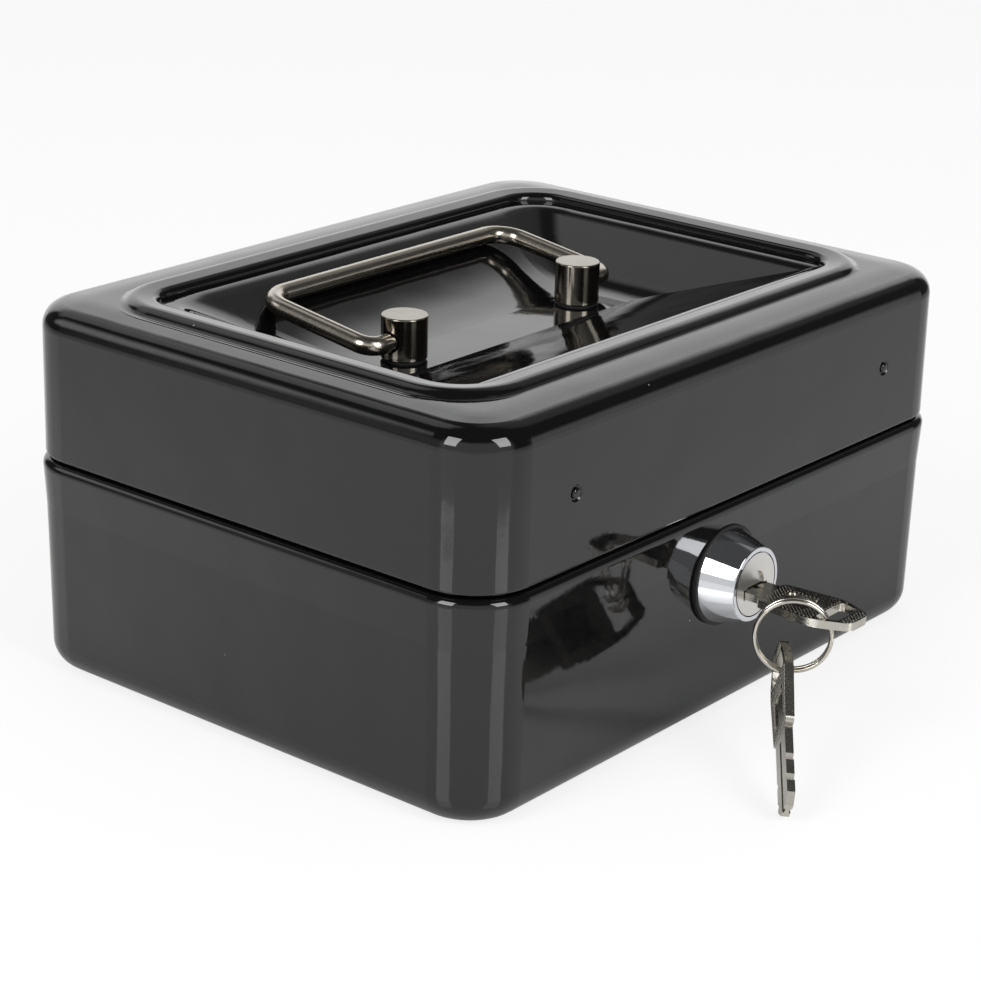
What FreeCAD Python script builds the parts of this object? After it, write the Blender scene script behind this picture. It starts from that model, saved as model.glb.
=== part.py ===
import FreeCAD, Part
import math
import os

Vector = FreeCAD.Vector

# Driving dimensions, in millimetres and degrees.
# Frame: +Z up, front with the lock at -Y, origin at the middle of the underside.

# Box as a whole
box_width = 152.0
box_depth = 119.0
corner_radius = 13.0
sheet = 0.8

# Base
seam_height = 44.3
bottom_radius = 5.5
base_draft = 1.0
rim_flare = 0.45
rim_flare_height = 10.0
shoulder_radius = 1.8
lip_height = 7.0
lip_clearance = 0.5

# Lid
lid_inset = 0.7
seam_gap = 0.35
hem_height = 5.0
ledge_height = 74.5
lid_edge_radius = 4.5
ledge_rake = 6.0
ledge_rake_run = 8.2
ledge_level_radius = 30.0
ridge_side_inset = 8.9
ridge_front_inset = 11.4
ridge_rise = 2.2
ridge_band = 6.9
ridge_corner_radius = 14.9
ridge_foot_radius = 1.5
ridge_side_rake = 45.0
ridge_shoulder_radius = 3.0
ridge_inner_radius = 1.6
ridge_tilt = 7.0
recess_drop = 9.5
recess_floor_length = 77.8
recess_floor_front = -5.4
recess_back_bend = 21.0
recess_bend_margin = 0.2
recess_shelf = 3.0
recess_shelf_rise = 0.1
recess_shelf_bend = 8.0
recess_side_bend_radius = 18.0

# Handle
post_spacing = 54.0
post_shift = 1.9
post_radius = 4.6
post_height = 9.0
post_edge = 0.3
post_bore_height = 4.2
post_bore_depth = 5.6
post_stud_radius = 2.0
post_gasket = 0.4
post_gasket_margin = 0.35
stud_end = 0.6
handle_washer_radius = 4.5
handle_washer_thickness = 0.6
handle_nut_flats = 7.0
handle_nut_thickness = 2.4
wire_radius = 1.9
wire_bore_play = 0.3
bail_width = 73.6
bail_reach = 28.8
bail_elbow_radius = 3.1
bail_corner_radius = 6.0
bail_end_gap = 0.4
bail_rest_gap = 0.35

# Hinges
hinge_spacing = 76.0
hinge_width = 24.0
hinge_end_knuckle = 7.0
hinge_play = 0.3
hinge_lid_gap = 0.35
hinge_axis_rise = 1.0
barrel_radius = 2.2
pin_radius = 1.0
pin_running_fit = 0.05
pin_end = 0.5
leaf_sheet = 0.8
leaf_reach = 10.2
leaf_rivet_reach = 6.6
leaf_rivet_pitch = 14.0
stop_lug_reach = 5.5
stop_lug_thickness = 1.2
stop_lug_angle = 12.0

# Rivets
rivet_radius = 1.2
rivet_head_radius = 2.1
rivet_head_height = 0.8
rivet_tail_radius = 1.8
rivet_tail_height = 0.6

# Strike inside the lid's front
strike_rivet_spacing = 100.6
strike_rivet_height = 59.0
strike_sheet = 1.2
strike_bar_end = 6.0
strike_bar_width = 9.0
strike_web_drop = 2.0
dimple_radius = 1.65
dimple_depth = 0.35
dimple_play = 0.2
strike_shank_radius = 0.8
strike_dome_radius = 0.6
hook_width = 6.0
hook_arm_width = 4.0
hook_side_gap = 1.3
hook_arm_gap = 0.5
hook_arm_reach = 9.0

# Lock
lock_shift = -3.2
lock_height = 30.0
seat_radius = 9.95
seat_thickness = 0.9
cone_base_radius = 9.4
cone_face_radius = 7.3
cone_height = 6.6
cone_edge = 0.3
barrel_thread_radius = 7.4
barrel_flats = 13.4
barrel_length = 10.2
lock_nut_flats = 19.0
lock_nut_thickness = 3.0
plug_radius = 5.6
plug_running_fit = 0.05
plug_flange_radius = 6.2
plug_flange_thickness = 1.4
plug_flange_play = 0.25
plug_recess_radius = 2.7
plug_recess_depth = 0.5
plug_end_gap = 0.15
drive_square = 5.0
stop_washer_thickness = 1.0
stop_washer_radius = 7.2
stop_tab_angle = 50.0
stop_tab_reach = 1.5
stop_tab_play = 0.2
stop_slack_angle = 3.0
cam_turn = 90.0
cam_thickness = 1.6
cam_half_width = 4.0
cam_reach = 16.5
cam_hub_radius = 6.0
cam_screw_radius = 1.5
cam_screw_length = 6.0
cam_screw_head_radius = 3.2
cam_screw_head_height = 2.0
cam_screw_slot = 0.8

# Wafers
wafer_count = 4
wafer_pitch = 2.2
wafer_first = 3.6
wafer_thickness = 0.9
wafer_height = 6.2
wafer_play = 0.1
wafer_window_play = 0.3
wafer_lug_width = 0.9
wafer_lug_height = 1.5
spring_radius = 0.55
spring_bore = 0.3
spring_length = 2.7
spring_pocket_play = 0.1

# Keys and ring
key_thickness = 1.5
bow_thickness = 1.6
blade_width = 7.2
blade_in_plug = 13.0
blade_shown = 3.3
blade_tip_cut = 1.8
blade_play = 0.2
blade_notch_depth = 0.7
blade_groove_width = 1.2
blade_groove_depth = 0.35
keyway_drop = 1.3
bow_length = 20.0
bow_shoulder_width = 10.0
bow_width = 12.4
bow_end_width = 6.0
bow_shoulder_radius = 1.2
bow_side_radius = 9.0
bow_end_radius = 2.6
bow_widest = 13.0
bow_slot_width = 9.8
bow_slot_end_width = 6.6
bow_slot_height = 4.4
bow_slot_corner = 0.9
bow_slot_to_end = 4.9
bow_panel_length = 6.5
bow_panel_width = 5.2
bow_panel_depth = 0.25
bow_panel_start = 3.0
key_ring_radius = 7.1
ring_wire_radius = 0.4
ring_turn_gap = 0.42
ring_turns = 2
ring_heading = 33.0
ring_slot_place = -2.8
ring_slot_push = 0.3
ring_drop = 3.5
spare_heading = 38.0
spare_twist = -8.0
spare_ring_angle = -14.0
spare_floor_gap = 0.5

# Coin tray and its ledges
ledge_sheet = 1.0
ledge_leg = 6.0
ledge_reach = 6.0
ledge_below_lip = 5.3
ledge_length = 84.0
tray_gap = 0.5
tray_flange = 1.5
tray_depth = 19.0
tray_wall = 1.5
tray_corner = 6.0
tray_front = -43.0
tray_back_gap = 3.6
tray_row_split = 0.46
tray_front_cells = 2
tray_back_cells = 3
tray_cell_corner = 4.0

# Working values

tiny = 1e-6
overlap = 1.0
up = Vector(0, 0, 1)
origin = Vector(0, 0, 0)

# Base walls, as insets from the rim's outline
flare_start = seam_height - rim_flare_height
draft_slope = math.tan(math.radians(base_draft))
flare_inset = rim_flare + rim_flare_height * draft_slope
foot_inset = flare_inset + flare_start * draft_slope
flare_angle = math.degrees(math.atan2(flare_inset, rim_flare_height))
lip_inset = lid_inset + 2 * sheet + lip_clearance
lip_top = seam_height + lip_height

# Lid outlines
hem_bottom = seam_height + seam_gap
lid_width = box_width - 2 * lid_inset
lid_depth = box_depth - 2 * lid_inset
lid_corner = corner_radius - lid_inset
ridge_width = lid_width - 2 * ridge_side_inset
ridge_depth = lid_depth - 2 * ridge_front_inset
ledge_angle = math.radians(ledge_rake)
side_angle = math.radians(ridge_side_rake)
crest_angle = math.radians(ridge_tilt)
ridge_slope = math.tan(crest_angle)
ledge_inside = ledge_height + ledge_rake_run * math.tan(ledge_angle)
crest_height = ledge_height + ridge_rise
shoulder_cap = math.cos((side_angle - crest_angle) / 2) / math.cos((side_angle + crest_angle) / 2) - 1
crest_edge = crest_height + ridge_shoulder_radius * shoulder_cap
shoulder_inset = (crest_edge - ledge_inside) / math.tan(side_angle)
crest_inside = crest_edge - (ridge_band - shoulder_inset) * ridge_slope
recess_floor_height = ledge_height - recess_drop
recess_shelf_height = ledge_height + recess_shelf_rise
recess_width = ridge_width - 2 * ridge_band
recess_depth = ridge_depth - 2 * ridge_band
recess_corner = ridge_corner_radius - ridge_band
slope_rise = recess_shelf_height - recess_floor_height
back_run = recess_depth / 2 - recess_shelf - recess_back_bend
back_slope = math.atan2(slope_rise, back_run)
bend_tangent = recess_back_bend - post_shift - post_radius - recess_bend_margin
bend_radius = bend_tangent / math.tan(back_slope / 2)

# Handle places
post_foot = recess_floor_height + post_gasket
bore_axis = recess_floor_height + post_bore_height
bore_end = post_spacing / 2 + post_radius - post_bore_depth
bend_y = recess_back_bend - bend_tangent - post_shift
bend_z = recess_floor_height + bend_radius - bore_axis
bend_span = math.hypot(bend_y, bend_z)
rest_radius = bend_radius - wire_radius - bail_rest_gap
rest_side = (bail_reach ** 2 + bend_span ** 2 - rest_radius ** 2) / (2 * bail_reach)
bail_tilt = math.atan2(bend_z, bend_y) - math.acos(rest_side / bend_span)
lid_underside = recess_floor_height - sheet

# Hinge places
hinge_wall = lid_depth / 2
hinge_axis_y = hinge_wall + hinge_lid_gap + barrel_radius
hinge_axis_z = seam_height + hinge_axis_rise
knuckle_room = barrel_radius + hinge_play
lid_knuckle = hinge_width - 2 * (hinge_end_knuckle + hinge_play)

# Lock places along Y, from the wall outwards and inwards
lock_wall = box_depth / 2 - flare_inset - (flare_start - lock_height) * draft_slope
cone_base = -lock_wall - seat_thickness
lock_face = cone_base - cone_height
barrel_end = cone_base + barrel_length
drive_start = barrel_end + plug_end_gap
cam_start = drive_start + stop_washer_thickness
cam_end = cam_start + cam_thickness
lock_axis = Vector(lock_shift, 0, lock_height)

# Key places
key_level = lock_height - keyway_drop
key_length = bow_length + blade_shown + blade_in_plug
slot_to_tip = key_length - bow_slot_to_end
key_slot_y = lock_face + blade_in_plug - slot_to_tip
ring_along = Vector(math.sin(math.radians(ring_heading)), -math.cos(math.radians(ring_heading)), 0)
ring_across = Vector(-math.cos(math.radians(ring_heading)), -math.sin(math.radians(ring_heading)), 0)
ring_entry = Vector(lock_shift + ring_slot_place, key_slot_y + ring_slot_push, key_level)
ring_chord = math.sqrt(key_ring_radius ** 2 - ring_drop ** 2)
ring_centre = ring_entry - ring_along * ring_chord - up * ring_drop
ring_pitch = 2 * ring_wire_radius + ring_turn_gap
hang_angle = math.radians(spare_ring_angle)
spare_hang = ring_centre + (ring_along * math.sin(hang_angle) - up * math.cos(hang_angle)) * key_ring_radius
twist = math.radians(spare_twist)
spare_reach = slot_to_tip - blade_tip_cut
spare_side = blade_width / 2 * math.cos(twist) + key_thickness / 2 * abs(math.sin(twist))
spare_span = math.hypot(spare_reach, spare_side)
spare_drop = math.acos((spare_hang.z - spare_floor_gap) / spare_span)
spare_lean = math.degrees(spare_drop + math.atan2(spare_side, spare_reach))

# Tray places
ledge_wall = box_width / 2 - lip_inset - sheet
ledge_top = lip_top - ledge_below_lip
ledge_edge = ledge_wall - ledge_reach
tray_top = ledge_top + tray_flange
tray_floor = tray_top - tray_depth
tray_back = box_depth / 2 - lip_inset - sheet - tray_back_gap
tray_half_width = ledge_edge - tray_gap
flange_half_width = ledge_wall - ledge_sheet - tray_gap


# Drawing helpers

def in_plan(x, y):
    """Point of a drawing in the horizontal plane."""
    return Vector(x, y, 0)


def in_front_view(x, z):
    """Point of a drawing seen from the front."""
    return Vector(x, 0, z)


def in_side_view(y, z):
    """Point of a drawing seen from the side."""
    return Vector(0, y, z)


def round_corner(before, corner, after, radius):
    """Start, middle and end of the arc that rounds one corner."""
    to_before = (before - corner).normalize()
    to_after = (after - corner).normalize()
    half = to_before.getAngle(to_after) / 2
    reach = radius / math.tan(half)
    inward = (to_before + to_after).normalize() if radius else Vector(0, 0, 0)
    middle = corner + inward * (radius / math.sin(half) - radius)
    return corner + to_before * reach, middle, corner + to_after * reach


def outline(corners, view):
    """Closed wire through corners given as (a, b) or (a, b, radius)."""
    points = [view(corner[0], corner[1]) for corner in corners]
    radii = [corner[2] if len(corner) > 2 else 0.0 for corner in corners]
    turns = []
    for i, point in enumerate(points):
        turns.append(round_corner(points[i - 1], point, points[(i + 1) % len(points)], radii[i]))
    edges = []
    for i, (start, middle, end) in enumerate(turns):
        if radii[i] > 0:
            edges.append(Part.Arc(start, middle, end).toShape())
        following = turns[(i + 1) % len(turns)][0]
        if end.distanceToPoint(following) > tiny:
            edges.append(Part.LineSegment(end, following).toShape())
    return Part.Wire(edges)


def plate(corners, view, thickness):
    """Flat solid from an outline and a thickness vector."""
    return Part.Face(outline(corners, view)).extrude(thickness)


def rectangle(half_a, half_b, radius=0.0, middle_b=0.0):
    """Corners of a rectangle, rounded where a radius is given."""
    low = middle_b - half_b
    high = middle_b + half_b
    return [(-half_a, low, radius), (half_a, low, radius), (half_a, high, radius), (-half_a, high, radius)]


def turned(profile, axis_point):
    """Solid turned about an axis along Y, from corners given as (radius, y)."""
    solid = Part.Face(outline(profile, in_plan)).revolve(origin, Vector(0, 1, 0), 360)
    solid.translate(axis_point)
    return solid


def rod_x(radius, x_start, x_end, y, z):
    """Round rod along X."""
    return Part.makeCylinder(radius, x_end - x_start, Vector(x_start, y, z), Vector(1, 0, 0))


def rod_z(radius, x, y, z_start, z_end):
    """Round rod along Z."""
    return Part.makeCylinder(radius, z_end - z_start, Vector(x, y, z_start), up)


def block(x_range, y_range, z_range):
    """Box between two limits on each axis."""
    low = Vector(x_range[0], y_range[0], z_range[0])
    size = [x_range[1] - x_range[0], y_range[1] - y_range[0], z_range[1] - z_range[0]]
    return Part.makeBox(size[0], size[1], size[2], low)


def hexagon(flats, view):
    """Closed wire of a hexagon with the given width across flats."""
    reach = flats / math.sqrt(3)
    angles = [math.radians(60 * i) for i in range(6)]
    return outline([(reach * math.cos(angle), reach * math.sin(angle)) for angle in angles], view)


def joined(solids):
    """Fuses solids into one and merges the faces that run on."""
    return solids[0].multiFuse(solids[1:]).removeSplitter()


def swept(width, depth, radius, section, core):
    """Sweeps a wall section round a rounded rectangle.

    Section corners are (inset from the outline, height). The core is the height range
    that fills the middle, or None for a ring.
    """
    face = Part.Face(outline(section, lambda inset, height: Vector(radius - inset, 0, height)))
    corner = face.revolve(origin, up, 90)
    half_x = width / 2 - radius
    half_y = depth / 2 - radius
    spots = [in_plan(half_x, half_y), in_plan(-half_x, half_y)]
    spots = spots + [in_plan(-half_x, -half_y), in_plan(half_x, -half_y)]
    solids = []
    for i, spot in enumerate(spots):
        bend = corner.copy()
        bend.rotate(origin, up, 90 * i)
        bend.translate(spot)
        side = face.copy()
        side.rotate(origin, up, 90 * (i + 1))
        side.translate(spot)
        solids = solids + [bend, side.extrude(spots[(i + 1) % len(spots)] - spot)]
    if core:
        solids.append(block((-half_x, half_x), (-half_y, half_y), core))
    return joined(solids)


def tube(edges, radius):
    """Round wire along joined edges."""
    path = Part.Wire(edges)
    start = edges[0].valueAt(edges[0].FirstParameter)
    ahead = edges[0].tangentAt(edges[0].FirstParameter)
    ring = Part.Wire([Part.Circle(start, ahead, radius).toShape()])
    return path.makePipeShell([ring], True, False)


def rivet(grip, head_room=0.0):
    """Button rivet along Y: head outwards from the face at y = 0, tail past the grip."""
    profile = [
        (0, -head_room - rivet_head_height),
        (rivet_head_radius, -head_room - rivet_head_height, rivet_head_height),
        (rivet_head_radius, -head_room),
        (rivet_radius, -head_room),
        (rivet_radius, grip),
        (rivet_tail_radius, grip),
        (rivet_tail_radius, grip + rivet_tail_height, rivet_tail_height / 2),
        (0, grip + rivet_tail_height),
    ]
    return turned(profile, origin)


# Base

def base_form(skin, top):
    """Solid form of the base, its skin drawn in by the given amount."""
    section = [
        (corner_radius, skin),
        (foot_inset + skin - skin * draft_slope, skin, bottom_radius - skin),
        (flare_inset + skin, flare_start),
        (skin, seam_height - skin, shoulder_radius - skin),
        (lip_inset + skin, seam_height - skin),
        (lip_inset + skin, top),
        (corner_radius, top),
    ]
    return swept(box_width, box_depth, corner_radius, section, (skin, top))


def barrel_section():
    """Lock barrel as a round rod along Y with two flats."""
    half = barrel_flats / 2
    return Part.makeCylinder(barrel_thread_radius, barrel_length, origin, Vector(0, 1, 0)).common(
        block((-barrel_thread_radius, barrel_thread_radius), (0, barrel_length), (-half, half)))


def base_shell():
    """Pressed base with its lip, lock hole and hinge rivet holes."""
    shell = base_form(0, lip_top).cut(base_form(sheet, lip_top + overlap))
    hole = barrel_section()
    hole.translate(lock_axis + Vector(0, cone_base, 0))
    shell = shell.cut(hole)
    return shell.cut(Part.makeCompound(base_leaf_holes()))


# Lid

def under(inset, height, before, after, skin):
    """Corner of a pressed section, moved below the skin, from the angles of the runs that meet there."""
    share = skin / (1 + math.cos(before - after))
    inset = inset + share * (math.sin(before) + math.sin(after))
    return inset, height - share * (math.cos(before) + math.cos(after))


def lid_body(skin, bottom):
    """Walls of the lid and its ledge, which rises a little towards the bead, as a solid form."""
    middle = ledge_inside - skin
    edge = under(0, ledge_height, math.pi / 2, ledge_angle, skin)
    brow = under(ledge_rake_run, ledge_inside, ledge_angle, 0, skin)
    section = [
        (lid_corner, bottom),
        (skin, bottom),
        edge + (lid_edge_radius - skin,),
        brow + (ledge_level_radius - skin,),
        (lid_corner, middle),
    ]
    return swept(lid_width, lid_depth, lid_corner, section, (bottom, middle))


def ridge_form(skin):
    """Raised bead round the recess, a soft roll filled to its middle."""
    ground = ledge_inside - skin
    root = ground - overlap
    drop = (ridge_corner_radius - shoulder_inset) * ridge_slope
    middle = crest_edge - drop - skin / math.cos(crest_angle)
    foot = under(0, ledge_inside, 0, side_angle, skin)
    shoulder = under(shoulder_inset, crest_edge, side_angle, -crest_angle, skin)
    section = [
        (ridge_corner_radius, root),
        (-ridge_foot_radius, root),
        (-ridge_foot_radius, ground),
        foot + (ridge_foot_radius + skin,),
        shoulder + (ridge_shoulder_radius - skin,),
        (ridge_corner_radius, middle),
    ]
    return swept(ridge_width, ridge_depth, ridge_corner_radius, section, (root, middle))


def side_bend(edge):
    """Tells whether an edge of the recess runs from its front corner back up a side."""
    ends = [vertex.Point for vertex in edge.Vertexes]
    aside = min(abs(end.x) for end in ends) > recess_floor_length / 2 - tiny
    run = abs(ends[0].y - ends[-1].y)
    return aside and run > tiny and min(end.y for end in ends) > recess_floor_front - tiny


def shelf_bend(edge, level):
    """Tells whether an edge of the recess is where a slope ends at the shelf."""
    ends = [vertex.Point for vertex in edge.Vertexes]
    inside = max(abs(end.x) for end in ends) < recess_width / 2
    return inside and all(abs(end.z - level) < tiny for end in ends)


def recess_form(skin):
    """Hipped recess with a narrow shelf inside the bead, as the solid that it removes."""
    low = recess_floor_height - skin - overlap
    high = crest_height + overlap
    section = [
        (recess_corner, low),
        (-skin, low),
        (-skin, crest_inside + skin * ridge_slope - skin, ridge_inner_radius - skin),
        (-ridge_inner_radius, crest_inside + ridge_inner_radius * ridge_slope - skin),
        (-ridge_inner_radius, high),
        (recess_corner, high),
    ]
    well = swept(recess_width, recess_depth, recess_corner, section, (low, high))
    floor = recess_floor_height
    stretch = (high - floor + skin) / slope_rise
    top = floor + slope_rise * stretch
    front_run = recess_depth / 2 - recess_shelf + recess_floor_front
    half_floor = recess_floor_length / 2
    half_top = half_floor + (recess_width / 2 - recess_shelf - half_floor) * stretch
    along = plate([
        (recess_floor_front - front_run * stretch, top),
        (recess_floor_front, floor),
        (recess_back_bend, floor, bend_radius),
        (recess_back_bend + back_run * stretch, top),
    ], in_side_view, Vector(lid_width, 0, 0))
    across = plate([
        (-half_top, top),
        (-half_floor, floor),
        (half_floor, floor),
        (half_top, top),
    ], in_front_view, Vector(0, lid_depth, 0))
    along.translate(Vector(-lid_width / 2, 0, -skin))
    across.translate(Vector(0, -lid_depth / 2, -skin))
    bowl = along.common(across)
    bends = [edge for edge in bowl.Edges if side_bend(edge)]
    bowl = bowl.makeFillet(recess_side_bend_radius, bends)
    level = recess_shelf_height - skin
    shelf = block((-lid_width / 2, lid_width / 2), (-lid_depth / 2, lid_depth / 2), (level, high))
    bowl = bowl.fuse(shelf)
    brinks = [edge for edge in bowl.Edges if shelf_bend(edge, level)]
    return well.common(bowl.makeFillet(recess_shelf_bend - skin, brinks))


def lid_form(skin, bottom):
    """Whole lid as a solid form, its skin drawn in by the given amount."""
    return lid_body(skin, bottom).fuse(ridge_form(skin)).cut(recess_form(skin))


def lid_shell():
    """Pressed lid with its hem, post holes, dimples and rivet holes."""
    shell = lid_form(0, hem_bottom + sheet).cut(lid_form(sheet, hem_bottom - overlap))
    hem = [
        (0, hem_bottom, sheet),
        (2 * sheet, hem_bottom, sheet),
        (2 * sheet, hem_bottom + hem_height),
        (0, hem_bottom + hem_height),
    ]
    shell = joined([shell, swept(lid_width, lid_depth, lid_corner, hem, None)])
    below = lid_underside - overlap
    holes = [rod_z(post_stud_radius, x, post_shift, below, post_foot) for x in post_places()]
    for place in strike_rivet_places():
        holes = holes + [turned(strike_shank(sheet), place), turned(dimple_profile(), place)]
    return shell.cut(Part.makeCompound(holes + lid_leaf_holes()))


# Handle

def post_places():
    """Places of the two posts along X."""
    return [-post_spacing / 2, post_spacing / 2]


def handle_post(side):
    """Round post with its bail bore from the outer side and a stud below."""
    x = side * post_spacing / 2
    top = recess_floor_height + post_height
    profile = [
        (0, post_foot),
        (post_radius, post_foot, post_edge),
        (post_radius, top, post_edge),
        (0, top),
    ]
    post = Part.Face(outline(profile, in_front_view)).revolve(origin, up, 360)
    post.translate(Vector(x, post_shift, 0))
    ends = sorted([side * bore_end, side * (post_spacing / 2 + post_radius + overlap)])
    post = post.cut(rod_x(wire_radius + wire_bore_play, ends[0], ends[1], post_shift, bore_axis))
    stud_tip = lid_underside - handle_washer_thickness - handle_nut_thickness - stud_end
    return joined([post, rod_z(post_stud_radius, x, post_shift, stud_tip, post_foot + post_edge)])


def rings(radius, low, high):
    """One washer round each post stud."""
    group = []
    for x in post_places():
        disc = rod_z(radius, x, post_shift, low, high)
        group.append(disc.cut(rod_z(post_stud_radius, x, post_shift, low, high)))
    return Part.makeCompound(group)


def handle_post_gaskets():
    """Thin dark gaskets between the posts and the recess floor."""
    return rings(post_radius - post_gasket_margin, recess_floor_height, post_foot)


def handle_washers():
    """Washers under the nuts inside the lid."""
    return rings(handle_washer_radius, lid_underside - handle_washer_thickness, lid_underside)


def handle_nuts():
    """Hexagon nuts on the post studs inside the lid."""
    top = lid_underside - handle_washer_thickness
    group = []
    for x in post_places():
        nut = Part.Face(hexagon(handle_nut_flats, in_plan)).extrude(up * -handle_nut_thickness)
        nut.translate(Vector(x, post_shift, top))
        group.append(nut.cut(rod_z(post_stud_radius, x, post_shift, top - handle_nut_thickness, top)))
    return Part.makeCompound(group)


def handle_bail():
    """Bent wire bail, lying back over the recess."""
    end = bore_end + bail_end_gap
    half = bail_width / 2
    corners = [
        Vector(-end, 0, 0),
        Vector(-half, 0, 0),
        Vector(-half, bail_reach, 0),
        Vector(half, bail_reach, 0),
        Vector(half, 0, 0),
        Vector(end, 0, 0),
    ]
    radii = [bail_elbow_radius, bail_corner_radius, bail_corner_radius, bail_elbow_radius]
    edges = []
    here = corners[0]
    for i, radius in enumerate(radii):
        start, middle, finish = round_corner(corners[i], corners[i + 1], corners[i + 2], radius)
        edges.append(Part.LineSegment(here, start).toShape())
        edges.append(Part.Arc(start, middle, finish).toShape())
        here = finish
    edges.append(Part.LineSegment(here, corners[-1]).toShape())
    bail = tube(edges, wire_radius)
    bail.rotate(origin, Vector(1, 0, 0), math.degrees(bail_tilt))
    bail.translate(Vector(0, post_shift, bore_axis))
    return bail


# Hinges

def knuckle(x_start, x_end):
    """One length of hinge barrel."""
    return rod_x(barrel_radius, x_start, x_end, hinge_axis_y, hinge_axis_z)


def base_wall_back(z):
    """Y of the base's rear wall in its flared band."""
    return box_depth / 2 - flare_inset * (seam_height - z) / rim_flare_height


def hinge_base_leaf(side):
    """Leaf on the base's rear wall with the two end knuckles."""
    x = side * hinge_spacing / 2
    low = hinge_axis_z - leaf_reach
    section = [
        (base_wall_back(low), low),
        (base_wall_back(low) + leaf_sheet, low),
        (base_wall_back(hinge_axis_z) + leaf_sheet, hinge_axis_z),
        (base_wall_back(hinge_axis_z), hinge_axis_z),
    ]
    leaf = plate(section, in_side_view, Vector(hinge_width, 0, 0))
    leaf.translate(Vector(x - hinge_width / 2, 0, 0))
    room = lid_knuckle / 2 + hinge_play
    y_range = (hinge_axis_y - knuckle_room - overlap, hinge_axis_y + knuckle_room)
    z_range = (hinge_axis_z - knuckle_room, hinge_axis_z + overlap)
    leaf = leaf.cut(block((x - room, x + room), y_range, z_range))
    ends = [
        knuckle(x - hinge_width / 2, x - hinge_width / 2 + hinge_end_knuckle),
        knuckle(x + hinge_width / 2 - hinge_end_knuckle, x + hinge_width / 2),
    ]
    leaf = joined([leaf] + ends)
    leaf = leaf.cut(rod_x(pin_radius, x - hinge_width / 2, x + hinge_width / 2, hinge_axis_y, hinge_axis_z))
    return leaf.cut(Part.makeCompound(base_leaf_holes()))


def hinge_lid_leaf(side):
    """Leaf on the lid's rear wall with the middle knuckle and its stop lug."""
    x = side * hinge_spacing / 2
    y_range = (hinge_wall, hinge_wall + leaf_sheet)
    half = lid_knuckle / 2
    top = hinge_axis_z + leaf_reach
    wide = block((x - hinge_width / 2, x + hinge_width / 2), y_range, (hinge_axis_z + knuckle_room, top))
    neck = block((x - half, x + half), y_range, (hinge_axis_z, hinge_axis_z + knuckle_room))
    lug = block((-half, half), (0, stop_lug_reach), (-stop_lug_thickness / 2, stop_lug_thickness / 2))
    lug.rotate(origin, Vector(1, 0, 0), stop_lug_angle)
    lug.translate(Vector(x, hinge_axis_y, hinge_axis_z))
    leaf = joined([wide, neck, knuckle(x - half, x + half), lug])
    leaf = leaf.cut(rod_x(pin_radius + pin_running_fit, x - half, x + half, hinge_axis_y, hinge_axis_z))
    return leaf.cut(Part.makeCompound(lid_leaf_holes()))


def hinge_pin(side):
    """Pin held in the end knuckles of one hinge."""
    x = side * hinge_spacing / 2
    half = hinge_width / 2 + pin_end
    return rod_x(pin_radius, x - half, x + half, hinge_axis_y, hinge_axis_z)


def leaf_rivet_columns():
    """Places of the hinge rivets along X."""
    columns = []
    for side in (-1, 1):
        middle = side * hinge_spacing / 2
        columns = columns + [middle - leaf_rivet_pitch / 2, middle + leaf_rivet_pitch / 2]
    return columns


def on_base_leaf(shape, x):
    """Copy of a part along -Y, turned out and laid on the base's rear wall."""
    z = hinge_axis_z - leaf_rivet_reach
    copy = shape.copy()
    copy.rotate(origin, up, 180)
    copy.rotate(origin, Vector(1, 0, 0), -flare_angle)
    copy.translate(Vector(x, base_wall_back(z), z))
    return copy


def on_lid_leaf(shape, x):
    """Copy of a part along -Y, turned out and laid on the lid's rear wall."""
    copy = shape.copy()
    copy.rotate(origin, up, 180)
    copy.translate(Vector(x, hinge_wall, hinge_axis_z + leaf_rivet_reach))
    return copy


def leaf_hole():
    """Rivet hole through a leaf and the wall behind it."""
    reach = leaf_sheet + sheet
    return turned([(0, -reach), (rivet_radius, -reach), (rivet_radius, reach), (0, reach)], origin)


def base_leaf_holes():
    """Rivet holes of both base leaves."""
    return [on_base_leaf(leaf_hole(), x) for x in leaf_rivet_columns()]


def lid_leaf_holes():
    """Rivet holes of both lid leaves."""
    return [on_lid_leaf(leaf_hole(), x) for x in leaf_rivet_columns()]


def hinge_base_rivets():
    """Rivets through the base leaves and the base wall."""
    grip = sheet * math.cos(math.radians(flare_angle))
    return Part.makeCompound([on_base_leaf(rivet(grip, leaf_sheet), x) for x in leaf_rivet_columns()])


def hinge_lid_rivets():
    """Rivets through the lid leaves and the lid wall."""
    return Part.makeCompound([on_lid_leaf(rivet(sheet, leaf_sheet), x) for x in leaf_rivet_columns()])


# Strike

def strike_rivet_places():
    """Points on the lid's front wall where the strike rivets sit."""
    half = strike_rivet_spacing / 2
    return [Vector(x, -lid_depth / 2, strike_rivet_height) for x in (-half, half)]


def dimple_profile():
    """Shallow ring that the strike rivet's head sits in."""
    return [(0, 0), (dimple_radius, 0), (dimple_radius - dimple_depth, dimple_depth), (0, dimple_depth)]


def strike_shank(grip):
    """Corners of the strike rivet's shank through the given grip."""
    return [(0, 0), (strike_shank_radius, 0), (strike_shank_radius, grip), (0, grip)]


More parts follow.
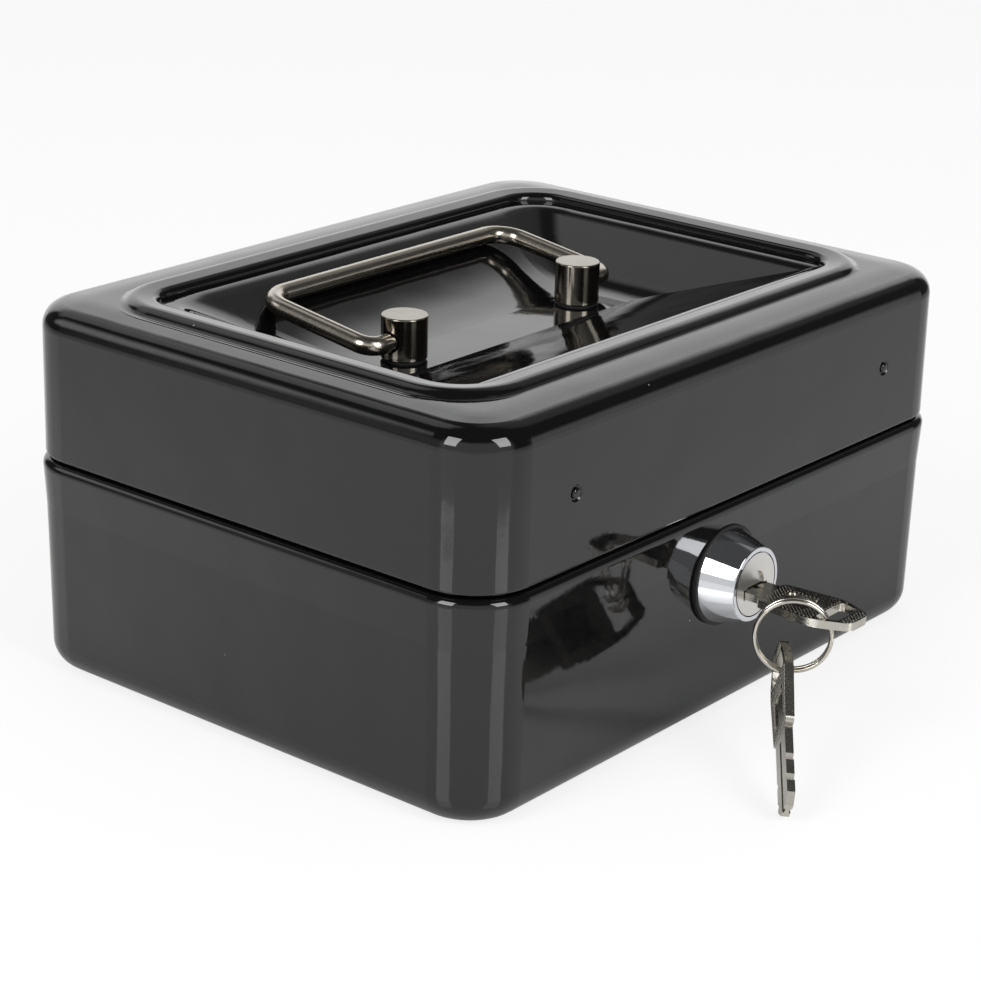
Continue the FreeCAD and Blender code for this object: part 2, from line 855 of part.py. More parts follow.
def strike_bar():
    """Strip along the lid's front wall with the hook that the cam catches."""
    wall = -lid_depth / 2 + sheet
    half = strike_rivet_spacing / 2 + strike_bar_end
    z_range = (strike_rivet_height - strike_bar_width / 2, strike_rivet_height + strike_bar_width / 2)
    strip = block((-half, half), (wall, wall + strike_sheet), z_range)
    hook_y = (cam_start + cam_end - strike_sheet) / 2
    inner = lock_shift + cam_reach + hook_side_gap
    outer = inner + hook_width
    web_top = strike_rivet_height - strike_web_drop
    web_z = (web_top - strike_sheet, web_top)
    web = block((inner, outer), (wall, hook_y + strike_sheet), web_z)
    arm_top = lock_height - cam_half_width - hook_arm_gap
    arm_start = lock_shift + hook_arm_reach
    corners = [
        (inner, web_top),
        (inner, arm_top),
        (arm_start, arm_top),
        (arm_start, arm_top - hook_arm_width),
        (outer, arm_top - hook_arm_width, hook_arm_width),
        (outer, web_top),
    ]
    hook = plate(corners, in_front_view, Vector(0, strike_sheet, 0))
    hook.translate(Vector(0, hook_y, 0))
    bar = joined([strip, web, hook])
    shank = strike_shank(sheet + strike_sheet)
    return bar.cut(Part.makeCompound([turned(shank, place) for place in strike_rivet_places()]))


def strike_rivets():
    """Black rivets that hold the strike bar, their heads in shallow dimples."""
    head = dimple_radius - dimple_play - dimple_depth
    grip = sheet + strike_sheet
    profile = [
        (0, -dimple_depth),
        (head, -dimple_depth, strike_dome_radius),
        (head, dimple_depth),
        (strike_shank_radius, dimple_depth),
        (strike_shank_radius, grip),
        (rivet_tail_radius, grip),
        (rivet_tail_radius, grip + rivet_tail_height, rivet_tail_height / 2),
        (0, grip + rivet_tail_height),
    ]
    return Part.makeCompound([turned(profile, place) for place in strike_rivet_places()])


# Lock

def lock_washer():
    """Black seat ring between the cone and the sloping wall."""
    outer = [(0, cone_base), (seat_radius, cone_base, cone_edge), (seat_radius, 0), (0, 0)]
    ring = turned(outer, lock_axis).cut(base_form(0, lip_top))
    barrel = barrel_section()
    barrel.translate(lock_axis + Vector(0, cone_base, 0))
    return max(ring.cut(barrel).Solids, key=lambda solid: -solid.CenterOfMass.y)


def lock_housing():
    """Bright cone with its barrel, bored for the plug and notched for the stop tab."""
    cone = turned([
        (0, lock_face),
        (cone_face_radius, lock_face, cone_edge),
        (cone_base_radius, cone_base),
        (0, cone_base),
    ], lock_axis)
    barrel = barrel_section()
    barrel.translate(lock_axis + Vector(0, cone_base, 0))
    bore = plug_radius + plug_running_fit
    flange_bore = plug_flange_radius + plug_flange_play
    step = lock_face + plug_flange_thickness + plug_end_gap
    cavity = turned([
        (0, lock_face - overlap),
        (flange_bore, lock_face - overlap),
        (flange_bore, step),
        (bore, step),
        (bore, barrel_end + overlap),
        (0, barrel_end + overlap),
    ], lock_axis)
    notch_reach = stop_tab_reach + stop_tab_play
    notch = sector(barrel_thread_radius + overlap, stop_tab_angle / 2 + stop_slack_angle,
                   stop_tab_angle / 2 + cam_turn + stop_slack_angle, notch_reach)
    notch.translate(lock_axis + Vector(0, barrel_end - notch_reach, 0))
    return joined([cone, barrel]).cut(cavity).cut(notch)


def sector(radius, before, after, length):
    """Wedge along Y that opens from before to after, counted from straight up towards +X."""
    start = Vector(-math.sin(math.radians(before)), 0, math.cos(math.radians(before))) * radius
    edge = Part.LineSegment(origin, start).toShape()
    wedge = edge.revolve(origin, Vector(0, 1, 0), before + after)
    return wedge.extrude(Vector(0, length, 0))


def lock_nut():
    """Hexagon nut that pulls the barrel against the base's front wall."""
    lowest = lock_height - lock_nut_flats / 2
    seat = -(lock_wall - (lock_height - lowest) * draft_slope) + sheet
    nut = Part.Face(hexagon(lock_nut_flats, in_front_view)).extrude(Vector(0, lock_nut_thickness, 0))
    nut.translate(lock_axis + Vector(0, seat, 0))
    barrel = barrel_section()
    barrel.translate(lock_axis + Vector(0, cone_base, 0))
    return nut.cut(barrel)


def wafer_places():
    """Y of the middle of each wafer."""
    return [lock_face + wafer_first + i * wafer_pitch for i in range(wafer_count)]


def spring_ends():
    """X range of the wafer springs."""
    return lock_shift, lock_shift + spring_length


def spring_level():
    """Z of the wafer springs' axes."""
    return lock_height + wafer_height / 2 + spring_pocket_play + spring_radius


def lock_plug():
    """Plug with keyway, wafer slots, spring pockets and the square drive for the cam."""
    body = turned([
        (0, lock_face),
        (plug_flange_radius, lock_face),
        (plug_flange_radius, lock_face + plug_flange_thickness),
        (plug_radius, lock_face + plug_flange_thickness),
        (plug_radius, drive_start),
        (0, drive_start),
    ], lock_axis)
    half = drive_square / 2
    x, z = lock_shift, lock_height
    drive = block((x - half, x + half), (barrel_end - overlap, cam_end), (z - half, z + half))
    plug = joined([body, drive])
    half_blade = blade_width / 2 + blade_play
    half_gap = bow_thickness / 2 + blade_play
    key_z = (key_level - half_gap, key_level + half_gap)
    key_end = lock_face + blade_in_plug + blade_play
    cuts = [block((x - half_blade, x + half_blade), (lock_face - overlap, key_end), key_z)]
    recess = [
        (0, lock_face - overlap),
        (plug_recess_radius, lock_face - overlap),
        (plug_recess_radius, lock_face + plug_recess_depth),
        (0, lock_face + plug_recess_depth),
    ]
    cuts.append(turned(recess, lock_axis))
    slot_y = wafer_thickness / 2 + wafer_play
    slot_z = wafer_height / 2 + wafer_play
    pocket_y = spring_radius + spring_pocket_play
    pocket_x = (x - wafer_lug_width - 2 * wafer_play, spring_ends()[1])
    pocket_z = (z, z + wafer_height / 2 + wafer_lug_height + 2 * wafer_play)
    slot_x = (x - plug_radius, x + plug_radius)
    for y in wafer_places():
        cuts.append(block(slot_x, (y - slot_y, y + slot_y), (z - slot_z, z + slot_z)))
        cuts.append(block(pocket_x, (y - pocket_y, y + pocket_y), pocket_z))
    cuts.append(turned(cam_screw_shank(), lock_axis))
    for cut in cuts:
        plug = plug.cut(cut)
    return plug


def wafer_tumblers():
    """Wafers in the plug, drawn in by the key, each with a lug for its spring."""
    x, z = lock_shift, lock_height
    half_y = wafer_thickness / 2
    half_x = blade_width / 2 + wafer_window_play
    half_z = bow_thickness / 2 + wafer_window_play
    group = []
    for y in wafer_places():
        disc = turned([(0, y - half_y), (plug_radius - wafer_play, y - half_y),
                       (plug_radius - wafer_play, y + half_y), (0, y + half_y)], lock_axis)
        y_range = (y - half_y, y + half_y)
        z_range = (z - wafer_height / 2, z + wafer_height / 2)
        band = block((x - plug_radius, x + plug_radius), y_range, z_range)
        lug = block((x - wafer_lug_width, x), y_range, (z, z + wafer_height / 2 + wafer_lug_height))
        window = block((x - half_x, x + half_x), y_range, (key_level - half_z, key_level + half_z))
        group.append(joined([disc.common(band), lug]).cut(window))
    return Part.makeCompound(group)


def wafer_springs():
    """Springs that push the wafers out, as plain sleeves of the coils' outer size."""
    start, end = spring_ends()
    group = []
    for y in wafer_places():
        sleeve = rod_x(spring_radius, start, end, y, spring_level())
        group.append(sleeve.cut(rod_x(spring_bore, start, end, y, spring_level())))
    return Part.makeCompound(group)


def drive_hole(y_range):
    """Square hole that fits the plug's drive."""
    half = drive_square / 2
    x, z = lock_shift, lock_height
    return block((x - half, x + half), y_range, (z - half, z + half))


def stop_washer():
    """Washer on the drive whose tab runs in the barrel's notch."""
    disc = turned([(0, drive_start), (stop_washer_radius, drive_start),
                   (stop_washer_radius, cam_start), (0, cam_start)], lock_axis)
    bore = plug_radius + plug_running_fit + stop_tab_play
    ring = turned([(bore, barrel_end - stop_tab_reach), (stop_washer_radius, barrel_end - stop_tab_reach),
                   (stop_washer_radius, cam_start), (bore, cam_start)], lock_axis)
    length = cam_start - barrel_end + stop_tab_reach
    wedge = sector(barrel_thread_radius, stop_tab_angle / 2, stop_tab_angle / 2, length)
    wedge.translate(lock_axis + Vector(0, barrel_end - stop_tab_reach, 0))
    return joined([disc, ring.common(wedge)]).cut(drive_hole((drive_start, cam_start)))


def lock_cam():
    """Cam plate, pointing up while the lid is free to open."""
    corners = [
        (-cam_half_width, 0),
        (cam_half_width, 0),
        (cam_half_width, cam_reach, cam_half_width / 2),
        (-cam_half_width, cam_reach, cam_half_width / 2),
    ]
    arm = plate(corners, in_front_view, Vector(0, cam_thickness, 0))
    tip = Part.makeCylinder(cam_reach, cam_thickness, origin, Vector(0, 1, 0))
    arm = arm.common(tip)
    hub = Part.makeCylinder(cam_hub_radius, cam_thickness, origin, Vector(0, 1, 0))
    cam = joined([arm, hub])
    cam.translate(lock_axis + Vector(0, cam_start, 0))
    return cam.cut(drive_hole((cam_start, cam_end)))


def cam_screw_shank():
    """Corners of the cam screw's shank inside the plug."""
    start = cam_end - cam_screw_length
    return [(0, start), (cam_screw_radius, start), (cam_screw_radius, cam_end), (0, cam_end)]


def cam_screw():
    """Screw that holds the cam on the plug."""
    head = turned([
        (0, cam_end),
        (cam_screw_head_radius, cam_end),
        (cam_screw_head_radius, cam_end + cam_screw_head_height, cam_screw_head_height / 2),
        (0, cam_end + cam_screw_head_height),
    ], lock_axis)
    half = cam_screw_slot / 2
    x, z = lock_shift, lock_height
    reach = cam_screw_head_radius + overlap
    y_range = (cam_end + cam_screw_head_height / 2, cam_end + cam_screw_head_height + overlap)
    slot = block((x - reach, x + reach), y_range, (z - half, z + half))
    return joined([head.cut(slot), turned(cam_screw_shank(), lock_axis)])


# Keys

def key_form():
    """Key lying flat, its slot at the origin and its blade along +Y."""
    end = -bow_slot_to_end
    shoulder = end + bow_length
    widest = end + bow_length - bow_widest
    half_shoulder = bow_shoulder_width / 2
    half_bow = bow_width / 2
    half_end = bow_end_width / 2
    bow = plate([
        (half_shoulder, shoulder, bow_shoulder_radius),
        (-half_shoulder, shoulder, bow_shoulder_radius),
        (-half_bow, widest, bow_side_radius),
        (-half_end, end, bow_end_radius),
        (half_end, end, bow_end_radius),
        (half_bow, widest, bow_side_radius),
    ], in_plan, up * bow_thickness)
    bow.translate(up * (-bow_thickness / 2))
    slot = plate([
        (bow_slot_width / 2, bow_slot_height / 2, bow_slot_corner),
        (-bow_slot_width / 2, bow_slot_height / 2, bow_slot_corner),
        (-bow_slot_end_width / 2, -bow_slot_height / 2, bow_slot_corner),
        (bow_slot_end_width / 2, -bow_slot_height / 2, bow_slot_corner),
    ], in_plan, up * bow_thickness)
    slot.translate(up * (-bow_thickness / 2))
    half_blade = blade_width / 2
    blade = plate([
        (half_blade, shoulder - overlap),
        (half_blade, slot_to_tip - blade_tip_cut),
        (half_blade - blade_tip_cut, slot_to_tip),
        (-half_blade + blade_tip_cut, slot_to_tip),
        (-half_blade, slot_to_tip - blade_tip_cut),
        (-half_blade, shoulder - overlap),
    ], in_plan, up * key_thickness)
    blade.translate(up * (-key_thickness / 2))
    key = joined([bow.cut(slot), blade])
    cuts = []
    for face in (-1, 1):
        groove = face * (key_thickness / 2)
        z_range = sorted([groove, groove - face * blade_groove_depth])
        x_range = (-blade_groove_width / 2, blade_groove_width / 2)
        cuts.append(block(x_range, (shoulder + blade_shown / 2, slot_to_tip), z_range))
        panel = plate(rectangle(bow_panel_width / 2, bow_panel_length / 2, blade_groove_width), in_plan,
                      up * bow_panel_depth)
        lowest = bow_thickness / 2 - bow_panel_depth if face > 0 else -bow_thickness / 2
        panel.translate(Vector(0, shoulder - bow_panel_start - bow_panel_length / 2, lowest))
        cuts.append(panel)
    for i in range(wafer_count):
        y = slot_to_tip - blade_in_plug + wafer_first + i * wafer_pitch
        side = 1 if i % 2 else -1
        tip = side * (half_blade - blade_notch_depth)
        mouth = side * (half_blade + blade_notch_depth)
        notch = plate([(tip, y), (mouth, y - 2 * blade_notch_depth), (mouth, y + 2 * blade_notch_depth)],
                      in_plan, up * key_thickness)
        notch.translate(up * (-key_thickness / 2))
        cuts.append(notch)
    return key.cut(Part.makeCompound(cuts))


def key():
    """Key in the lock, its bow level."""
    form = key_form()
    form.translate(Vector(lock_shift, key_slot_y, key_level))
    return form


def spare_key():
    """Spare key hanging on the ring, its tip leaning just above the surface."""
    form = key_form()
    form.rotate(origin, Vector(0, 1, 0), spare_twist)
    form.rotate(origin, Vector(1, 0, 0), -90)
    form.rotate(origin, Vector(0, 1, 0), spare_lean)
    form.rotate(origin, up, spare_heading)
    form.translate(spare_hang)
    return form


def ring_point(angle):
    """Point and direction on the ring's winding at an angle in radians from its bottom."""
    rise = ring_pitch * angle / (2 * math.pi) - ring_pitch * ring_turns / 2
    spread = ring_along * math.sin(angle) - up * math.cos(angle)
    ahead = ring_along * math.cos(angle) + up * math.sin(angle)
    point = ring_centre + spread * key_ring_radius + ring_across * rise
    return point, (ahead * key_ring_radius + ring_across * (ring_pitch / (2 * math.pi))).normalize()


def arc_from(start, ahead, end):
    """Arc that leaves start along a direction and ends at a point."""
    chord = end - start
    side = chord - ahead * chord.dot(ahead)
    half = math.atan2(side.Length, chord.dot(ahead)) / 2
    middle = start + chord / 2
    outward = (ahead - chord * (ahead.dot(chord) / chord.dot(chord))).normalize()
    return Part.Arc(start, middle + outward * (chord.Length / 2 * math.tan(half)), end).toShape()


def biarc(start, start_ahead, end, end_ahead):
    """Two arcs that join two points and keep their directions."""
    chord = end - start
    turn = start_ahead + end_ahead
    across = chord.dot(turn)
    spread = 2 * (1 - start_ahead.dot(end_ahead))
    reach = (math.sqrt(across ** 2 + spread * chord.dot(chord)) - across) / spread
    joint = (start + end + (start_ahead - end_ahead) * reach) / 2
    return [arc_from(start, start_ahead, joint), arc_from(end, end_ahead * -1, joint)]


def key_ring():
    """Split ring wound from one wire, its turns side by side."""
    quarters = 4 * ring_turns
    edges = []
    for i in range(quarters):
        start, start_ahead = ring_point(i * math.pi / 2)
        end, end_ahead = ring_point((i + 1) * math.pi / 2)
        edges = edges + biarc(start, start_ahead, end, end_ahead)
    print("key ring: gap between turns", round(ring_gap(), 3), "mm")
    return tube(edges, ring_wire_radius)


def ring_gap():
    """Least gap between neighbouring turns, measured on points of the winding."""
    steps = 72
    least = math.inf
    for i in range(steps):
        angle = 2 * math.pi * i / steps
        here = ring_point(angle)[0]
        there = ring_point(angle + 2 * math.pi)[0]
        least = min(least, here.distanceToPoint(there) - 2 * ring_wire_radius)
    return least


# Tray

def tray_ledge(side):
    """Angle strip welded inside the lip, that carries the tray's flange."""
    inner = ledge_wall - ledge_sheet
    y_range = (-ledge_length / 2, ledge_length / 2)
    wall_z = (ledge_top - ledge_sheet, ledge_top - ledge_sheet + ledge_leg)
    shelf_z = (ledge_top - ledge_sheet, ledge_top)
    leg = block(sorted([side * inner, side * ledge_wall]), y_range, wall_z)
    shelf = block(sorted([side * ledge_edge, side * ledge_wall]), y_range, shelf_z)
    return joined([leg, shelf])


def tray_cells():
    """Hollows of the tray's compartments, in a front row and a back row."""
    inner = tray_half_width - tray_wall
    split = tray_front + (tray_back - tray_front) * tray_row_split
    rows = [
        (tray_front + tray_wall, split - tray_wall / 2, tray_front_cells),
        (split + tray_wall / 2, tray_back - tray_wall, tray_back_cells),
    ]
    cells = []
    for low, high, count in rows:
        width = (2 * inner - (count - 1) * tray_wall) / count
        for i in range(count):
            corners = rectangle(width / 2, (high - low) / 2, tray_cell_corner, (low + high) / 2)
            cell = plate(corners, in_plan, up * tray_depth)
            cell.translate(Vector(-inner + width / 2 + i * (width + tray_wall), 0, tray_floor + tray_wall))
            cells.append(cell)
    return cells


def coin_tray():
    """Moulded coin tray that lifts out of the base."""
    middle = (tray_front + tray_back) / 2
    half_y = (tray_back - tray_front) / 2
    tub = plate(rectangle(tray_half_width, half_y, tray_corner, middle), in_plan, up * tray_depth)
    tub.translate(up * tray_floor)
    flange = plate(rectangle(flange_half_width, half_y, tray_corner, middle), in_plan, up * tray_flange)
    flange.translate(up * ledge_top)
    return joined([tub, flange]).cut(Part.makeCompound(tray_cells()))


# Sub-parts by name

pieces = {
    "base_shell": base_shell(),
    "lid_shell": lid_shell(),
    "handle_post_left": handle_post(-1),
    "handle_post_right": handle_post(1),
    "handle_post_gaskets": handle_post_gaskets(),
    "handle_washers": handle_washers(),
    "handle_nuts": handle_nuts(),
    "handle_bail": handle_bail(),
    "hinge_base_leaf_left": hinge_base_leaf(-1),
    "hinge_base_leaf_right": hinge_base_leaf(1),
    "hinge_lid_leaf_left": hinge_lid_leaf(-1),
    "hinge_lid_leaf_right": hinge_lid_leaf(1),
    "hinge_pin_left": hinge_pin(-1),
    "hinge_pin_right": hinge_pin(1),
    "hinge_base_rivets": hinge_base_rivets(),
    "hinge_lid_rivets": hinge_lid_rivets(),
    "strike_bar": strike_bar(),
    "strike_rivets": strike_rivets(),
    "lock_washer": lock_washer(),
    "lock_housing": lock_housing(),
    "lock_nut": lock_nut(),
    "lock_plug": lock_plug(),
    "wafer_tumblers": wafer_tumblers(),
    "wafer_springs": wafer_springs(),
    "stop_washer": stop_washer(),
    "lock_cam": lock_cam(),
    "cam_screw": cam_screw(),
    "key": key(),
    "key_ring": key_ring(),
    "spare_key": spare_key(),
    "tray_ledge_left": tray_ledge(-1),
    "tray_ledge_right": tray_ledge(1),
    "coin_tray": coin_tray(),
}

os.makedirs("parts", exist_ok=True)
for name, shape in pieces.items():
    shape.exportStep(os.path.join("parts", name + ".step"))
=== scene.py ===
"""Looks of the cash box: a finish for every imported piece, fine detail, the studio and the camera."""

import logging
import math
from dataclasses import dataclass
from enum import Enum

import bpy
from mathutils import Matrix, Vector


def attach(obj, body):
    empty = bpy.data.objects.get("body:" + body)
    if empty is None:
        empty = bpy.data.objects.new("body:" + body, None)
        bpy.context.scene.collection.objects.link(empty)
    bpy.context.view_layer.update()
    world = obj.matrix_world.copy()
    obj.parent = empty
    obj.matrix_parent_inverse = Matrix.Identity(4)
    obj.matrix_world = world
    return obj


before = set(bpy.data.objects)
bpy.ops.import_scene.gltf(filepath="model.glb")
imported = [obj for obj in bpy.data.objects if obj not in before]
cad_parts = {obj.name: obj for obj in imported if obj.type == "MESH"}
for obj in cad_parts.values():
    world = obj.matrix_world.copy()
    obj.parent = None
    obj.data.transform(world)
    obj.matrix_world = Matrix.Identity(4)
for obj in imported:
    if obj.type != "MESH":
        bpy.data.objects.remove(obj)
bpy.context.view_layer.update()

LOG = logging.getLogger("cash_box")
MM = 0.001
QUARTER_TURN = math.radians(90.0)
NEARLY_PARALLEL = 1e-9
RIDGE_SIDES = 4
BUTTON_SEGMENTS = 20
BUTTON_RINGS = 10
POINTS_PER_TURN = 96

# The lock's axis, which runs along Y, in millimetres
LOCK_X = -3.2
LOCK_Z = 30.0

# Sockets of the mix node, which are told apart by number because they share names
MIX_SHARE = 0
MIX_FIRST_COLOUR = 6
MIX_SECOND_COLOUR = 7
MIXED_COLOUR = 2
MIX_FIRST_VALUE = 2
MIX_SECOND_VALUE = 3

Point = tuple[float, float]


def linear(code: str) -> tuple[float, float, float, float]:
    """Turn an sRGB colour into linear light.

    Args:
        code: six hex digits, red first.

    Returns:
        Linear red, green and blue, and an alpha of one.
    """
    shares = [int(code[i:i + 2], 16) / 255 for i in (0, 2, 4)]
    lit = [share / 12.92 if share <= 0.04045 else ((share + 0.055) / 1.055) ** 2.4 for share in shares]
    return (lit[0], lit[1], lit[2], 1.0)


def add_node(tree: bpy.types.NodeTree, kind: str, settings: dict | None = None,
             links: dict | None = None) -> bpy.types.Node:
    """Add one node with its settings and links.

    Args:
        tree: the shader or geometry tree that gets the node.
        kind: Blender's name for the node.
        settings: values by name of a property or a socket, or by a socket's number.
        links: output sockets by the name or number of the input they feed.

    Returns:
        The new node.
    """
    node = tree.nodes.new(kind)
    for name, value in (settings or {}).items():
        if isinstance(name, str) and name not in node.inputs:
            setattr(node, name, value)
        else:
            node.inputs[name].default_value = value
    for name, source in (links or {}).items():
        tree.links.new(source, node.inputs[name])
    return node


class Lay(Enum):
    """How far fine tool lines are drawn out along X, Y and Z, as shares of a pattern's scale."""

    EVEN = (1.0, 1.0, 1.0)
    ALONG_X = (0.05, 1.0, 1.0)
    ALONG_Y = (1.0, 0.05, 1.0)
    ROUND_Z = (0.04, 0.04, 1.0)


@dataclass(frozen=True)
class Finish:
    """What every finish has: a name, its colours, its roughness and the size of its pattern.

    The colour runs from colour to shade over patches, the roughness between its two values over
    the grain, and the grain stands up by depth_mm.
    """

    name: str
    colour: str
    shade: str
    roughness: tuple[float, float]
    grain_mm: float
    depth_mm: float
    patch_mm: float
    lay: Lay = Lay.EVEN
    metallic: float = 0.0
    ior: float = 1.5
    grain_detail: float = 3.0
    patch_detail: float = 2.0
    noise_spread: tuple[float, float] = (0.3, 0.7)

    def material(self) -> bpy.types.Material:
        """Make the finish as a material.

        Returns:
            The material, made once and used again after that.
        """
        known = bpy.data.materials.get(self.name)
        if known is not None:
            return known
        made = bpy.data.materials.new(self.name)
        made.use_nodes = True
        tree = made.node_tree
        tree.nodes.clear()
        place = add_node(tree, "ShaderNodeTexCoord")
        drawn = add_node(tree, "ShaderNodeMapping", {"Scale": self.lay.value},
                         {"Vector": place.outputs["Object"]})
        grain = add_node(tree, "ShaderNodeTexNoise",
                         {"Scale": 1 / (self.grain_mm * MM), "Detail": self.grain_detail},
                         {"Vector": drawn.outputs["Vector"]})
        patch = add_node(tree, "ShaderNodeTexNoise",
                         {"Scale": 1 / (self.patch_mm * MM), "Detail": self.patch_detail},
                         {"Vector": place.outputs["Object"]})
        colour = add_node(tree, "ShaderNodeMix",
                          {"data_type": "RGBA", MIX_FIRST_COLOUR: linear(self.colour),
                           MIX_SECOND_COLOUR: linear(self.shade)},
                          {MIX_SHARE: patch.outputs[0]})
        rough = add_node(tree, "ShaderNodeMapRange",
                         {"From Min": self.noise_spread[0], "From Max": self.noise_spread[1],
                          "To Min": self.roughness[0], "To Max": self.roughness[1]},
                         {"Value": grain.outputs[0]})
        bump = add_node(tree, "ShaderNodeBump", {"Strength": 1.0, "Distance": self.depth_mm * MM},
                        {"Height": grain.outputs[0]})
        shader = add_node(tree, "ShaderNodeBsdfPrincipled", {"Metallic": self.metallic, "IOR": self.ior},
                          {"Base Color": colour.outputs[MIXED_COLOUR], "Roughness": rough.outputs["Result"],
                           "Normal": bump.outputs["Normal"]})
        self.detail(tree, place, shader)
        add_node(tree, "ShaderNodeOutputMaterial", None, {"Surface": shader.outputs["BSDF"]})
        return made

    def detail(self, tree: bpy.types.NodeTree, place: bpy.types.Node, shader: bpy.types.Node) -> None:
        """Add what this finish alone has; the common finish adds nothing.

        Args:
            tree: the material's tree.
            place: its texture coordinates.
            shader: its shader.
        """


@dataclass(frozen=True)
class GlossEnamel(Finish):
    """Stoved enamel over pressed sheet, whose slight waves bend what it mirrors, with a few dust nibs."""

    wave_mm: float = 16.0
    wave_depth_mm: float = 0.16
    wave_detail: float = 1.0
    nib_colour: str = "8d8d8b"
    nib_spacing_mm: float = 15.0
    nib_mm: float = 0.22

    def detail(self, tree: bpy.types.NodeTree, place: bpy.types.Node, shader: bpy.types.Node) -> None:
        """Add the waves of the sheet, and the nibs as small pale points at random places.

        Args:
            tree: the material's tree.
            place: its texture coordinates.
            shader: its shader.
        """
        share = self.nib_mm / self.nib_spacing_mm
        cells = add_node(tree, "ShaderNodeTexVoronoi", {"Scale": 1 / (self.nib_spacing_mm * MM)},
                         {"Vector": place.outputs["Object"]})
        nib = add_node(tree, "ShaderNodeMapRange",
                       {"From Min": share / 2, "From Max": share, "To Min": 1.0, "To Max": 0.0},
                       {"Value": cells.outputs["Distance"]})
        base = shader.inputs["Base Color"].links[0].from_socket
        mixed = add_node(tree, "ShaderNodeMix",
                         {"data_type": "RGBA", MIX_SECOND_COLOUR: linear(self.nib_colour)},
                         {MIX_SHARE: nib.outputs["Result"], MIX_FIRST_COLOUR: base})
        tree.links.new(mixed.outputs[MIXED_COLOUR], shader.inputs["Base Color"])
        swell = add_node(tree, "ShaderNodeTexNoise",
                         {"Scale": 1 / (self.wave_mm * MM), "Detail": self.wave_detail},
                         {"Vector": place.outputs["Object"]})
        peel = shader.inputs["Normal"].links[0].from_socket
        waves = add_node(tree, "ShaderNodeBump", {"Strength": 1.0, "Distance": self.wave_depth_mm * MM},
                         {"Height": swell.outputs[0], "Normal": peel})
        tree.links.new(waves.outputs["Normal"], shader.inputs["Normal"])


@dataclass(frozen=True)
class Metal(Finish):
    """Bare or plated metal."""

    metallic: float = 1.0


@dataclass(frozen=True)
class TurnedFace(Metal):
    """A metal face with the fine rings that a lathe tool leaves round its middle."""

    middle_mm: tuple[float, float, float] = (0.0, 0.0, 0.0)
    ring_mm: float = 0.35
    ring_detail: float = 2.0
    ring_wobble: float = 0.6
    ring_strength: float = 0.6
    waves_at_unit_scale: float = 10 / math.pi

    def detail(self, tree: bpy.types.NodeTree, place: bpy.types.Node, shader: bpy.types.Node) -> None:
        """Add the rings round an axis along Y.

        Args:
            tree: the material's tree.
            place: its texture coordinates.
            shader: its shader.
        """
        away = tuple(-value * MM for value in self.middle_mm)
        centred = add_node(tree, "ShaderNodeMapping", {"Location": away}, {"Vector": place.outputs["Object"]})
        rings = add_node(tree, "ShaderNodeTexWave",
                         {"wave_type": "RINGS", "rings_direction": "Y",
                          "Scale": 1 / (self.waves_at_unit_scale * self.ring_mm * MM),
                          "Distortion": self.ring_wobble, "Detail": self.ring_detail},
                         {"Vector": centred.outputs["Vector"]})
        below = shader.inputs["Normal"].links[0].from_socket
        turned = add_node(tree, "ShaderNodeBump",
                          {"Strength": self.ring_strength, "Distance": self.depth_mm * MM},
                          {"Height": rings.outputs["Fac"], "Normal": below})
        tree.links.new(turned.outputs["Normal"], shader.inputs["Normal"])


# Stoved gloss enamel on pressed steel: deep black, a clear reflection with a slight orange peel
BLACK_ENAMEL = GlossEnamel("black_stoving_enamel", "060607", "0a0a0b", roughness=(0.035, 0.07),
                           grain_mm=1.3, depth_mm=0.006, patch_mm=30.0, ior=1.52)
# Nickel on turned steel, left satin: warm grey, upright gleams and fine rings round the post
TURNED_NICKEL = Metal("satin_nickel_turned", "8e897f", "807b72", roughness=(0.12, 0.2),
                      grain_mm=0.16, depth_mm=0.0012, patch_mm=4.0, lay=Lay.ROUND_Z)
# The same plate on drawn wire: the gleam runs along the rod, with faint drawing lines
DRAWN_NICKEL = Metal("satin_nickel_drawn", "bab4a9", "a39d92", roughness=(0.16, 0.28),
                     grain_mm=0.22, depth_mm=0.002, patch_mm=5.0, lay=Lay.ALONG_X)
# Bright chrome on a zinc casting: a cold clear mirror with the least waviness
CHROME = Metal("bright_chrome_plate", "dfe1e4", "d2d4d8", roughness=(0.03, 0.07),
               grain_mm=1.8, depth_mm=0.0012, patch_mm=6.0)
# Nickel on a turned brass plug: pale, satin, with rings round the keyway
PLUG_NICKEL = TurnedFace("plug_face_nickel", "e4e2de", "d8d6d2", roughness=(0.3, 0.42),
                         grain_mm=0.25, depth_mm=0.002, patch_mm=3.0, middle_mm=(LOCK_X, 0.0, LOCK_Z))
# Nickel on stamped steel: grey-white, quite bright, with fine scuffs along the blade
KEY_NICKEL = Metal("stamped_key_nickel", "c4c1b9", "aaa79f", roughness=(0.14, 0.3),
                   grain_mm=0.18, depth_mm=0.003, patch_mm=2.5, lay=Lay.ALONG_Y)
# Nickel on hard spring wire: bright and clean
RING_NICKEL = Metal("split_ring_nickel", "c9c5bc", "b4b0a7", roughness=(0.1, 0.2),
                    grain_mm=0.3, depth_mm=0.001, patch_mm=3.0)
# Stamped brass strip: yellow, a little dulled on the flat
BRASS = Metal("stamped_brass", "c39a4e", "a8823f", roughness=(0.22, 0.36),
              grain_mm=0.3, depth_mm=0.003, patch_mm=2.0, lay=Lay.ALONG_X)
# Bare spring steel: grey with a faint oil film
SPRING_STEEL = Metal("spring_steel_wire", "8f9092", "77787a", roughness=(0.2, 0.34),
                     grain_mm=0.12, depth_mm=0.001, patch_mm=1.0)
